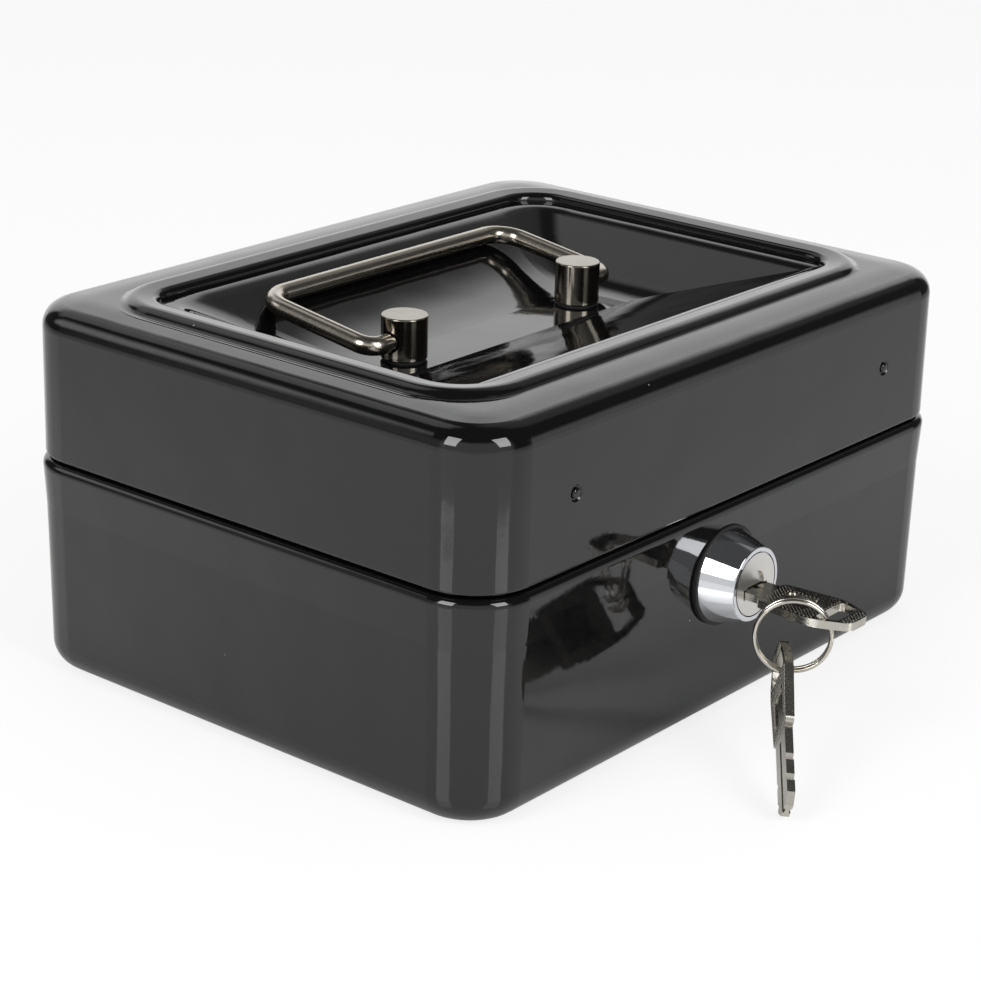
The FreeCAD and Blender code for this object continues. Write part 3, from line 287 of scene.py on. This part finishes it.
# Zinc plate on pressed steel: blue-grey, cloudy, with a soft broken gleam
ZINC = Metal("clear_zinc_plate", "a9adb1", "8d9195", roughness=(0.24, 0.44),
             grain_mm=0.6, depth_mm=0.004, patch_mm=3.5)
# Cut rubber and fibre: dull black with a fine tooth
RUBBER = Finish("black_rubber", "111111", "191918", roughness=(0.55, 0.75),
                grain_mm=0.25, depth_mm=0.01, patch_mm=4.0)
# Moulded plastic with a spark-eroded texture: dark grey-black, evenly matt
TRAY_PLASTIC = Finish("textured_black_plastic", "131314", "1b1b1c", roughness=(0.38, 0.55),
                      grain_mm=0.5, depth_mm=0.02, patch_mm=18.0, ior=1.49)


def wear(finish: Finish, *nodes: str) -> None:
    """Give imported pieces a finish.

    Args:
        finish: the finish.
        nodes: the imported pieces' names.
    """
    for name in nodes:
        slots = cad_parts[name].material_slots
        for slot in slots:
            slot.material = finish.material()
        LOG.info("dressed %s in %s", name, finish.name)


def edge_mesh(name: str, runs: list[tuple[Vector, Vector]]) -> bpy.types.Mesh:
    """Make a mesh of separate edges.

    Args:
        name: the mesh's name.
        runs: both ends of each edge, in metres.

    Returns:
        The mesh.
    """
    mesh = bpy.data.meshes.new(name)
    ends = [end for run in runs for end in run]
    mesh.from_pydata(ends, [(2 * i, 2 * i + 1) for i in range(len(runs))], [])
    return mesh


def grown(name: str, seed: bpy.types.Mesh, tree: bpy.types.NodeTree, inputs: dict) -> bpy.types.Object:
    """Run a geometry tree on a seed mesh and keep the result as a plain mesh.

    Args:
        name: the piece's name.
        seed: the mesh that the tree starts from.
        tree: the geometry tree.
        inputs: values by the name of the tree's input.

    Returns:
        The piece, at the origin.
    """
    piece = bpy.data.objects.new(name, seed)
    bpy.context.scene.collection.objects.link(piece)
    nodes = piece.modifiers.new(name, "NODES")
    nodes.node_group = tree
    for item in tree.interface.items_tree:
        if item.in_out == "INPUT" and item.name in inputs:
            nodes[item.identifier] = inputs[item.name]
    bpy.context.view_layer.update()
    shaped = piece.evaluated_get(bpy.context.evaluated_depsgraph_get())
    plain = bpy.data.meshes.new_from_object(shaped)
    piece.modifiers.clear()
    piece.data = plain
    bpy.data.meshes.remove(seed)
    return piece


def new_tree(name: str, inputs: dict[str, str]) -> tuple[bpy.types.NodeTree, bpy.types.Node]:
    """Start a geometry tree with named inputs.

    Args:
        name: the tree's name.
        inputs: the kind of socket by the input's name.

    Returns:
        The tree and its input node.
    """
    tree = bpy.data.node_groups.new(name, "GeometryNodeTree")
    for socket, kind in inputs.items():
        tree.interface.new_socket(socket, in_out="INPUT", socket_type=kind)
    tree.interface.new_socket("Geometry", in_out="OUTPUT", socket_type="NodeSocketGeometry")
    return tree, add_node(tree, "NodeGroupInput")


def end_tree(tree: bpy.types.NodeTree, start: bpy.types.Node, last: bpy.types.NodeSocket) -> None:
    """End a geometry tree in plain geometry with one material.

    Args:
        tree: the tree.
        start: its input node, which has an input named Finish.
        last: the geometry that the tree made.
    """
    plain = add_node(tree, "GeometryNodeRealizeInstances", None, {"Geometry": last})
    dressed = add_node(tree, "GeometryNodeSetMaterial", None,
                       {"Geometry": plain.outputs[0], "Material": start.outputs["Finish"]})
    add_node(tree, "NodeGroupOutput", None, {"Geometry": dressed.outputs[0]})


def rib_tree() -> bpy.types.NodeTree:
    """Make the tree that turns each edge into a low ridge with a four-sided section.

    Returns:
        The tree, with inputs for the ridge's width and its finish.
    """
    tree, start = new_tree("ridges_on_edges", {"Geometry": "NodeSocketGeometry", "Width": "NodeSocketFloat",
                                               "Finish": "NodeSocketMaterial"})
    half = add_node(tree, "ShaderNodeMath", {"operation": "MULTIPLY", 1: 0.5}, {0: start.outputs["Width"]})
    section = add_node(tree, "GeometryNodeCurvePrimitiveCircle", {"Resolution": RIDGE_SIDES},
                       {"Radius": half.outputs[0]})
    path = add_node(tree, "GeometryNodeMeshToCurve", None, {"Mesh": start.outputs["Geometry"]})
    ridge = add_node(tree, "GeometryNodeCurveToMesh", {"Fill Caps": True},
                     {"Curve": path.outputs[0], "Profile Curve": section.outputs["Curve"]})
    end_tree(tree, start, ridge.outputs[0])
    return tree


def weld_tree() -> bpy.types.NodeTree:
    """Make the tree that sets a low round button on every point.

    Returns:
        The tree, with inputs for the button's radius, its flatness and its finish.
    """
    tree, start = new_tree("spot_welds", {"Geometry": "NodeSocketGeometry", "Radius": "NodeSocketFloat",
                                          "Flatness": "NodeSocketVector", "Finish": "NodeSocketMaterial"})
    button = add_node(tree, "GeometryNodeMeshUVSphere", {"Segments": BUTTON_SEGMENTS, "Rings": BUTTON_RINGS},
                      {"Radius": start.outputs["Radius"]})
    smooth = add_node(tree, "GeometryNodeSetShadeSmooth", None, {"Geometry": button.outputs["Mesh"]})
    spots = add_node(tree, "GeometryNodeInstanceOnPoints", None,
                     {"Points": start.outputs["Geometry"], "Instance": smooth.outputs[0],
                      "Scale": start.outputs["Flatness"]})
    end_tree(tree, start, spots.outputs[0])
    return tree


def thread_tree() -> bpy.types.NodeTree:
    """Make the tree that winds a screw thread's crest along Z, cut off by two flats.

    Returns:
        The tree, with inputs for the thread's sizes and its finish.
    """
    tree, start = new_tree("barrel_thread", {
        "Geometry": "NodeSocketGeometry", "Radius": "NodeSocketFloat", "Length": "NodeSocketFloat",
        "Turns": "NodeSocketFloat", "Crest": "NodeSocketFloat", "Flat": "NodeSocketFloat",
        "Finish": "NodeSocketMaterial"})
    winding = add_node(tree, "GeometryNodeCurveSpiral", {"Resolution": POINTS_PER_TURN},
                       {"Rotations": start.outputs["Turns"], "Start Radius": start.outputs["Radius"],
                        "End Radius": start.outputs["Radius"], "Height": start.outputs["Length"]})
    place = add_node(tree, "GeometryNodeInputPosition")
    apart = add_node(tree, "ShaderNodeSeparateXYZ", None, {0: place.outputs[0]})
    lowest = add_node(tree, "ShaderNodeMath", {"operation": "MULTIPLY", 1: -1.0}, {0: start.outputs["Flat"]})
    held = add_node(tree, "ShaderNodeClamp", None, {"Value": apart.outputs["Y"], "Min": lowest.outputs[0],
                                                    "Max": start.outputs["Flat"]})
    joined = add_node(tree, "ShaderNodeCombineXYZ", None,
                      {"X": apart.outputs["X"], "Y": held.outputs[0], "Z": apart.outputs["Z"]})
    cut = add_node(tree, "GeometryNodeSetPosition", None,
                   {"Geometry": winding.outputs[0], "Position": joined.outputs[0]})
    section = add_node(tree, "GeometryNodeCurvePrimitiveCircle", {"Resolution": RIDGE_SIDES},
                       {"Radius": start.outputs["Crest"]})
    crest = add_node(tree, "GeometryNodeCurveToMesh", {"Fill Caps": True},
                     {"Curve": cut.outputs[0], "Profile Curve": section.outputs["Curve"]})
    end_tree(tree, start, crest.outputs[0])
    return tree


@dataclass
class PressedCase:
    """The two pressed shells and the strike riveted inside the lid."""

    def dress(self) -> None:
        """Coat the shells and the strike's rivets in enamel, and plate the strike."""
        wear(BLACK_ENAMEL, "base_shell", "lid_shell", "strike_rivets")
        wear(ZINC, "strike_bar")


@dataclass
class BailHandle:
    """The bail that swings between two turned posts on the lid."""

    def dress(self) -> None:
        """Plate the posts and the bail, and dress what clamps the posts."""
        wear(TURNED_NICKEL, "handle_post_left", "handle_post_right")
        wear(DRAWN_NICKEL, "handle_bail")
        wear(RUBBER, "handle_post_gaskets")
        wear(ZINC, "handle_washers", "handle_nuts")


@dataclass
class HingePair:
    """Two riveted knuckle hinges at the back."""

    def dress(self) -> None:
        """Coat the leaves and rivets with the case, and plate the pins."""
        for side in ("left", "right"):
            wear(BLACK_ENAMEL, f"hinge_base_leaf_{side}", f"hinge_lid_leaf_{side}")
            wear(ZINC, f"hinge_pin_{side}")
        wear(BLACK_ENAMEL, "hinge_base_rivets", "hinge_lid_rivets")


@dataclass
class CamLock:
    """The wafer lock with its cone, barrel, plug, cam and nut. Sizes in millimetres."""

    thread_start: float = -57.4
    thread_length: float = 7.2
    thread_radius: float = 7.38
    thread_pitch: float = 0.9
    thread_crest: float = 0.2
    flat: float = 6.4

    def build(self) -> None:
        """Wind the thread on the barrel, inside the box."""
        seed = bpy.data.meshes.new("thread_seed")
        piece = grown("barrel_thread", seed, thread_tree(), {
            "Radius": self.thread_radius * MM, "Length": self.thread_length * MM,
            "Turns": self.thread_length / self.thread_pitch, "Crest": self.thread_crest * MM,
            "Flat": self.flat * MM, "Finish": CHROME.material()})
        turn = Matrix.Rotation(-QUARTER_TURN, 4, "X")
        start = Vector((LOCK_X, self.thread_start, LOCK_Z)) * MM
        piece.data.transform(Matrix.Translation(start) @ turn)
        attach(piece, "base")
        LOG.info("built %s", piece.name)

    def dress(self) -> None:
        """Give the lock's pieces their metals, and the ring under its cone its rubber."""
        wear(RUBBER, "lock_washer")
        wear(CHROME, "lock_housing")
        wear(ZINC, "lock_nut", "stop_washer", "lock_cam", "cam_screw")
        wear(PLUG_NICKEL, "lock_plug")
        wear(BRASS, "wafer_tumblers")
        wear(SPRING_STEEL, "wafer_springs")


@dataclass
class KeySet:
    """Both keys and the split ring. Sizes in millimetres, in the key's own frame, blade along +Y.

    The two places are in the box's frame, and angles are in degrees.
    """

    bow: tuple[Point, ...] = ((5.0, 15.1), (-5.0, 15.1), (-6.2, 2.1), (-3.0, -4.9), (3.0, -4.9), (6.2, 2.1))
    slot: tuple[Point, ...] = ((4.9, 2.2), (-4.9, 2.2), (-3.3, -2.2), (3.3, -2.2))
    panel: tuple[Point, ...] = ((2.6, 12.1), (-2.6, 12.1), (-2.6, 5.6), (2.6, 5.6))
    edge: float = 0.55
    margin: float = 0.4
    face: float = 0.8
    rib_pitch: float = 0.62
    rib_width: float = 0.3
    rib_angle: float = 45.0
    rib_middle: Point = (0.0, 5.0)
    rib_reach: float = 16.0
    shortest: float = 0.5
    key_place: tuple[float, float, float] = (LOCK_X, -84.7, 28.7)
    spare_place: tuple[float, float, float] = (-10.299, -77.779, 18.311)
    spare_twist: float = -8.0
    spare_lean: float = 60.4
    spare_heading: float = 38.0

    def span(self, outline: tuple[Point, ...], grow: float, start: Vector,
             along: Vector) -> tuple[float, float]:
        """Find where a line runs inside a convex outline.

        Args:
            outline: the outline's corners, counter-clockwise.
            grow: how far the outline is moved outwards.
            start: a point of the line.
            along: the line's unit direction.

        Returns:
            The distances along the line at which it enters and leaves; the first is larger if it misses.
        """
        enter, leave = -math.inf, math.inf
        for (x0, y0), (x1, y1) in zip(outline, outline[1:] + outline[:1]):
            out = Vector((y1 - y0, x0 - x1)).normalized()
            room = grow - out.dot(start - Vector((x0, y0)))
            speed = out.dot(along)
            if abs(speed) < NEARLY_PARALLEL:
                if room < 0:
                    return math.inf, -math.inf
            elif speed > 0:
                leave = min(leave, room / speed)
            else:
                enter = max(enter, room / speed)
        return enter, leave

    def ribs(self) -> list[tuple[Vector, Vector]]:
        """Lay out the hatching of both faces of a bow.

        Returns:
            Both ends of each rib, in metres, in the key's frame.
        """
        angle = math.radians(self.rib_angle)
        along = Vector((math.cos(angle), math.sin(angle)))
        across = Vector((-along.y, along.x))
        runs = []
        count = int(self.rib_reach / self.rib_pitch)
        for i in range(-count, count + 1):
            start = across * (i * self.rib_pitch) + Vector(self.rib_middle)
            parts = [self.span(self.bow, -self.edge, start, along)]
            for hole in (self.slot, self.panel):
                low, high = self.span(hole, self.margin, start, along)
                if low < high:
                    parts = [part for first, last in parts
                             for part in ((first, min(last, low)), (max(first, high), last))]
            for first, last in parts:
                if last - first > self.shortest:
                    ends = [start + along * first, start + along * last]
                    for side in (-self.face, self.face):
                        runs.append(tuple(Vector((end.x, end.y, side)) * MM for end in ends))
        return runs

    def frames(self) -> dict[str, Matrix]:
        """Give the place of each key at rest.

        Returns:
            The matrix from the key's frame, by body.
        """
        spare = Matrix.Translation(Vector(self.spare_place) * MM)
        turns = ((math.radians(self.spare_heading), "Z"), (math.radians(self.spare_lean), "Y"),
                 (-QUARTER_TURN, "X"), (math.radians(self.spare_twist), "Y"))
        for angle, axis in turns:
            spare = spare @ Matrix.Rotation(angle, 4, axis)
        return {"key": Matrix.Translation(Vector(self.key_place) * MM), "spare": spare}

    def build(self) -> None:
        """Raise the hatching on both keys' bows."""
        tree = rib_tree()
        for body, place in self.frames().items():
            name = f"{body}_bow_hatching"
            piece = grown(name, edge_mesh(name, self.ribs()), tree,
                          {"Width": self.rib_width * MM, "Finish": KEY_NICKEL.material()})
            piece.data.transform(place)
            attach(piece, body)
            LOG.info("built %s", name)

    def dress(self) -> None:
        """Plate the keys and the ring."""
        wear(KEY_NICKEL, "key", "spare_key")
        wear(RING_NICKEL, "key_ring")


@dataclass
class CoinTray:
    """The lift-out tray and the ledges welded to the walls for it. Sizes in millimetres."""

    weld_x: float = 71.4
    weld_z: float = 48.9
    weld_y: tuple[float, ...] = (-34.0, 0.0, 34.0)
    weld_radius: float = 1.5
    weld_flatness: float = 0.1

    def build(self) -> None:
        """Set the spot welds on the ledges' upright legs."""
        seed = bpy.data.meshes.new("weld_seed")
        spots = [Vector((side * self.weld_x, y, self.weld_z)) * MM for side in (-1, 1) for y in self.weld_y]
        seed.from_pydata(spots, [], [])
        piece = grown("ledge_spot_welds", seed, weld_tree(), {
            "Radius": self.weld_radius * MM, "Flatness": (self.weld_flatness, 1.0, 1.0),
            "Finish": BLACK_ENAMEL.material()})
        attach(piece, "base")
        LOG.info("built %s", piece.name)

    def dress(self) -> None:
        """Coat the ledges with the case and give the tray its moulded skin."""
        wear(BLACK_ENAMEL, "tray_ledge_left", "tray_ledge_right")
        wear(TRAY_PLASTIC, "coin_tray")


@dataclass(frozen=True)
class Panel:
    """A white panel round the box, as gloss sees it. Angles in degrees, azimuth from +X towards +Y."""

    azimuth: float
    elevation: float
    half_width: float
    half_height: float
    level: float
    softness: float = 6.0

    def falloff(self, tree: bpy.types.NodeTree, angle: bpy.types.NodeSocket,
                reach: float) -> bpy.types.NodeSocket:
        """Fade from one inside the panel to nothing outside it, along one of its angles.

        Args:
            tree: the world's tree.
            angle: the angle from the panel's middle, in radians.
            reach: the panel's half size along that angle.

        Returns:
            The share of the panel that is seen.
        """
        apart = add_node(tree, "ShaderNodeMath", {"operation": "ABSOLUTE"}, {0: angle})
        edge = {"interpolation_type": "SMOOTHSTEP", "From Min": math.radians(reach - self.softness),
                "From Max": math.radians(reach + self.softness), "To Min": 1.0, "To Max": 0.0}
        return add_node(tree, "ShaderNodeMapRange", edge, {"Value": apart.outputs[0]}).outputs["Result"]

    def add(self, tree: bpy.types.NodeTree, way: bpy.types.NodeSocket,
            below: bpy.types.NodeSocket) -> bpy.types.NodeSocket:
        """Add the panel's light to what is already there.

        Args:
            tree: the world's tree.
            way: the direction looked in.
            below: the light so far.

        Returns:
            The light with the panel.
        """
        turned = add_node(tree, "ShaderNodeVectorRotate",
                          {"rotation_type": "Z_AXIS", "Angle": -math.radians(self.azimuth)}, {"Vector": way})
        apart = add_node(tree, "ShaderNodeSeparateXYZ", None, {0: turned.outputs[0]})
        aside = add_node(tree, "ShaderNodeMath", {"operation": "ARCTAN2"},
                         {0: apart.outputs["Y"], 1: apart.outputs["X"]})
        rise = add_node(tree, "ShaderNodeMath", {"operation": "ARCSINE"}, {0: apart.outputs["Z"]})
        above = add_node(tree, "ShaderNodeMath", {"operation": "SUBTRACT", 1: math.radians(self.elevation)},
                         {0: rise.outputs[0]})
        seen = add_node(tree, "ShaderNodeMath", {"operation": "MULTIPLY"},
                        {0: self.falloff(tree, aside.outputs[0], self.half_width),
                         1: self.falloff(tree, above.outputs[0], self.half_height)})
        lit = add_node(tree, "ShaderNodeMath", {"operation": "MULTIPLY_ADD", 1: self.level},
                       {0: seen.outputs[0], 2: below})
        return lit.outputs[0]


@dataclass
class Studio:
    """Pale floor, soft light and the camera. Lengths in millimetres, angles in degrees.

    A lamp is placed by its azimuth, from +X towards +Y, and its elevation. The camera's azimuth
    runs from -Y towards +X.
    """

    floor_size: float = 8000.0
    floor_colour: str = "f6f6f6"
    floor_roughness: float = 0.07
    floor_lift: float = 0.8
    fill: float = 0.62
    room: float = 0.07
    panels: tuple[Panel, ...] = (
        # Wide, behind the box as the camera sees it
        Panel(43.0, 10.0, 36.0, 24.0, 1.25),
        # Dim, high on the right
        Panel(12.0, 47.0, 26.0, 14.0, 0.2),
        # High at the back
        Panel(80.0, 50.0, 20.0, 15.0, 0.7),
        # Small and bright, to the left of the back
        Panel(123.0, 27.0, 11.0, 9.0, 1.6),
        # Low and dim, on the left towards the back
        Panel(150.0, 11.0, 15.0, 12.0, 0.3),
        # The widest, behind the camera
        Panel(220.0, 14.0, 60.0, 22.0, 0.7),
        # Small and low, on the right towards the front
        Panel(-39.0, 3.0, 9.0, 9.0, 0.7),
    )
    lamps: tuple[Point, ...] = ((177.0, 32.0), (-97.0, 32.0))
    lamp_distance: float = 1150.0
    lamp_width: float = 420.0
    lamp_height: float = 680.0
    lamp_power: float = 6.5
    azimuth: float = -50.974
    elevation: float = 19.347
    roll: float = 1.606
    distance: float = 553.352
    target: tuple[float, float, float] = (0.0, 0.0, 40.0)
    lens: float = 100.06
    sensor: float = 36.0
    nearest: float = 10.0
    shift: tuple[float, float] = (-0.00694, -0.04193)

    def lay_floor(self) -> None:
        """Lay the pale floor: plain white to the camera, with the shadow left in, and glossy to gloss."""
        half = self.floor_size / 2 * MM
        mesh = bpy.data.meshes.new("studio_floor")
        corners = [(-half, -half, 0), (half, -half, 0), (half, half, 0), (-half, half, 0)]
        mesh.from_pydata(corners, [], [(0, 1, 2, 3)])
        floor = bpy.data.objects.new("studio_floor", mesh)
        bpy.context.scene.collection.objects.link(floor)
        made = bpy.data.materials.new("pale_floor")
        made.use_nodes = True
        tree = made.node_tree
        tree.nodes.clear()
        path = add_node(tree, "ShaderNodeLightPath")
        plain = add_node(tree, "ShaderNodeBsdfDiffuse", {"Color": linear(self.floor_colour)})
        table = add_node(tree, "ShaderNodeBsdfPrincipled",
                         {"Base Color": linear(self.floor_colour), "Roughness": self.floor_roughness})
        surface = add_node(tree, "ShaderNodeMixShader", None,
                           {0: path.outputs["Is Glossy Ray"], 1: plain.outputs[0], 2: table.outputs[0]})
        share = add_node(tree, "ShaderNodeMath", {"operation": "MULTIPLY", 1: self.floor_lift},
                         {0: path.outputs["Is Camera Ray"]})
        white = add_node(tree, "ShaderNodeEmission", {"Strength": 1.0})
        lifted = add_node(tree, "ShaderNodeMixShader", None,
                          {0: share.outputs[0], 1: surface.outputs[0], 2: white.outputs[0]})
        add_node(tree, "ShaderNodeOutputMaterial", None, {"Surface": lifted.outputs[0]})
        mesh.materials.append(made)

    def light_world(self) -> None:
        """Make the studio: white to the camera, panels in a dim room to gloss, an even fill to the rest."""
        world = bpy.data.worlds.new("white_studio")
        bpy.context.scene.world = world
        world.use_nodes = True
        tree = world.node_tree
        tree.nodes.clear()
        way = add_node(tree, "ShaderNodeTexCoord").outputs["Generated"]
        path = add_node(tree, "ShaderNodeLightPath")
        room = add_node(tree, "ShaderNodeMapRange", {"To Min": self.fill, "To Max": self.room},
                        {"Value": path.outputs["Is Glossy Ray"]})
        gloss = room.outputs["Result"]
        for panel in self.panels:
            gloss = panel.add(tree, way, gloss)
        plain = add_node(tree, "ShaderNodeMapRange", {"To Min": self.fill, "To Max": 1.0},
                         {"Value": path.outputs["Is Camera Ray"]})
        level = add_node(tree, "ShaderNodeMix", None,
                         {MIX_SHARE: path.outputs["Is Glossy Ray"],
                          MIX_FIRST_VALUE: plain.outputs["Result"], MIX_SECOND_VALUE: gloss})
        sky = add_node(tree, "ShaderNodeBackground", {"Color": (1.0, 1.0, 1.0, 1.0)},
                       {"Strength": level.outputs[0]})
        add_node(tree, "ShaderNodeOutputWorld", None, {"Surface": sky.outputs[0]})

    def hang_lamps(self) -> None:
        """Stand the tall soft boxes to the left and in front, each turned towards the box."""
        for number, angles in enumerate(self.lamps):
            light = bpy.data.lights.new(f"soft_box_{number}", "AREA")
            light.shape = "RECTANGLE"
            light.size = self.lamp_width * MM
            light.size_y = self.lamp_height * MM
            light.energy = self.lamp_power
            lamp = bpy.data.objects.new(light.name, light)
            bpy.context.scene.collection.objects.link(lamp)
            azimuth, elevation = (math.radians(angle) for angle in angles)
            aim = Vector((math.cos(azimuth) * math.cos(elevation),
                          math.sin(azimuth) * math.cos(elevation), math.sin(elevation)))
            lamp.location = (Vector(self.target) + aim * self.lamp_distance) * MM
            lamp.rotation_euler = aim.to_track_quat("Z", "Y").to_euler()
            lamp.visible_camera = False

    def set_camera(self) -> None:
        """Set the camera at the photograph's view."""
        angles = (self.azimuth, self.elevation, self.roll)
        azimuth, elevation, roll = (math.radians(angle) for angle in angles)
        back = Vector((math.sin(azimuth) * math.cos(elevation),
                       -math.cos(azimuth) * math.cos(elevation), math.sin(elevation)))
        level = Vector((0, 0, 1)).cross(back).normalized()
        rise = back.cross(level)
        right = level * math.cos(roll) + rise * math.sin(roll)
        top = rise * math.cos(roll) - level * math.sin(roll)
        place = (Vector(self.target) + back * self.distance) * MM
        data = bpy.data.cameras.new("photo_camera")
        data.lens = self.lens
        data.sensor_width = self.sensor
        data.shift_x, data.shift_y = self.shift
        data.clip_start = self.nearest * MM
        camera = bpy.data.objects.new("photo_camera", data)
        bpy.context.scene.collection.objects.link(camera)
        turn = Matrix((right, top, back)).transposed().to_4x4()
        camera.matrix_world = Matrix.Translation(place) @ turn
        bpy.context.scene.camera = camera

    def build(self) -> None:
        """Lay the floor, light it and set the camera."""
        bpy.context.scene.view_settings.view_transform = "Standard"
        self.lay_floor()
        self.light_world()
        self.hang_lamps()
        self.set_camera()
        LOG.info("studio is set")


def main() -> None:
    """Build and dress the box, one sub-assembly after another, in its studio."""
    logging.basicConfig(level=logging.INFO, format="%(name)s: %(message)s")
    Studio().build()
    PressedCase().dress()
    BailHandle().dress()
    HingePair().dress()
    lock = CamLock()
    lock.build()
    lock.dress()
    keys = KeySet()
    keys.build()
    keys.dress()
    tray = CoinTray()
    tray.build()
    tray.dress()


if __name__ == "__main__":
    main()
